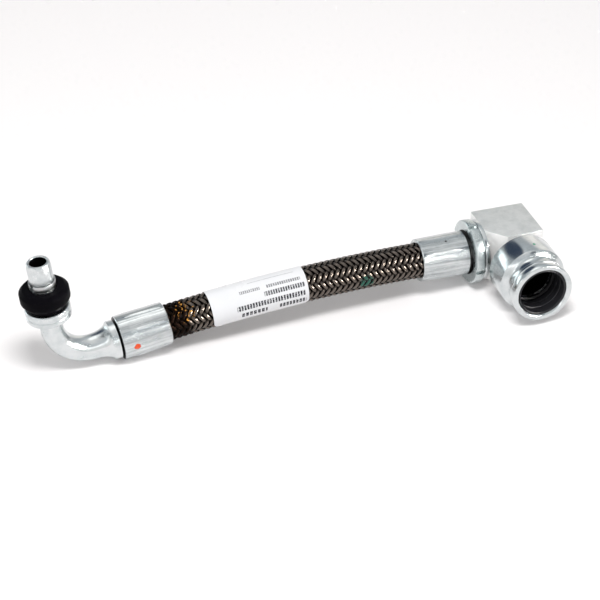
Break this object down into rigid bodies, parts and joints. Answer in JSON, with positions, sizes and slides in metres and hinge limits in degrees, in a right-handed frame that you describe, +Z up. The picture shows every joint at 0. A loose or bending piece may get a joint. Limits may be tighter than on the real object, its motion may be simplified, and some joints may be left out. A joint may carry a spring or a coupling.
{
  "type": "hydraulic oil hose",
  "caption": "Short steel-braided oil hose with crimped ends, a bent push-in spigot with a seal ring on one end and a block elbow with a round socket port on the other.",
  "frame": {"origin": "centre of the bounding box at table height, with the hose lying at rest", "axes": "+X along the hose from the spigot end to the block end, +Y away from the socket port's mouth, +Z up along the spigot"},
  "size_m": [0.2982, 0.0716, 0.0721],
  "materials": {
    "zinc_plate": "bright zinc plating, fine turned",
    "machined_steel": "plated over a fine blasted face, satin",
    "stainless_braid": "woven fine wire",
    "spring_steel": "drawn wire, satin",
    "black_rubber": "matte moulded",
    "black_plastic": "matte moulded",
    "white_label": "smooth glossy film"
  },
  "bodies": {
    "root": {"male_spigot": "zinc_plate", "retaining_ring": "spring_steel", "dust_ring": "black_plastic", "spigot_seal": "black_rubber", "elbow_tube": "zinc_plate", "left_nipple": "zinc_plate", "left_ferrule": "zinc_plate", "hose_tube": "black_rubber", "steel_braid": "stainless_braid", "label_wrap": "white_label", "right_ferrule": "zinc_plate", "right_nipple": "zinc_plate", "union_nut": "zinc_plate", "face_seal": "black_rubber", "lock_washer": "zinc_plate", "elbow_block": "machined_steel", "port_body": "zinc_plate", "port_liner": "black_plastic", "port_seal": "black_rubber", "port_snap_ring": "spring_steel"}
  },
  "joints": []
}
